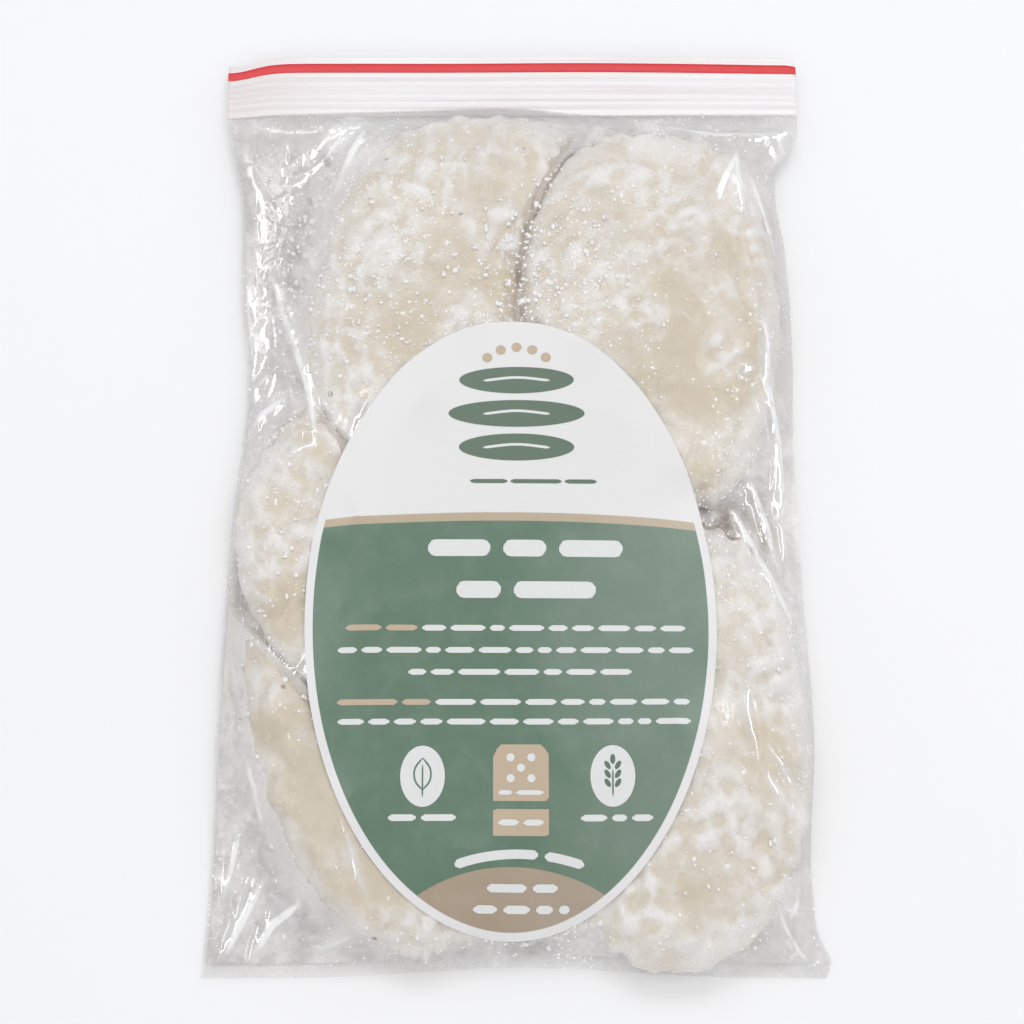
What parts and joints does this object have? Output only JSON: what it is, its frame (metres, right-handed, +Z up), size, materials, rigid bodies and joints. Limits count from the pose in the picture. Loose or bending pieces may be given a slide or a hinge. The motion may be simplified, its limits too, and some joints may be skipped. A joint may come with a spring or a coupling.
{
  "type": "zip bag of stuffed cassava arepas",
  "caption": "Clear zip bag lying flat, holding frozen oval stuffed cassava breads, with a large oval paper label on its front.",
  "frame": {"origin": "the middle of the underside of the bag, which lies on its back", "axes": "+Z up out of the labelled front, +Y towards the zip, +X towards the label's right-hand side"},
  "size_m": [0.201, 0.3196, 0.024],
  "materials": {
    "film": "clear glossy film",
    "cassava_dough": "frozen floury dough",
    "frost": "white frost and flour crumbs",
    "label_paper": "satin printed paper",
    "zip_plastic": "milky ribbed plastic",
    "red_line": "red plastic line"
  },
  "bodies": {
    "root": {"bag": "film", "label": "label_paper", "zip_lip_front": "zip_plastic", "zip_lip_back": "zip_plastic", "red_line": "red_line"}
  },
  "joints": []
}
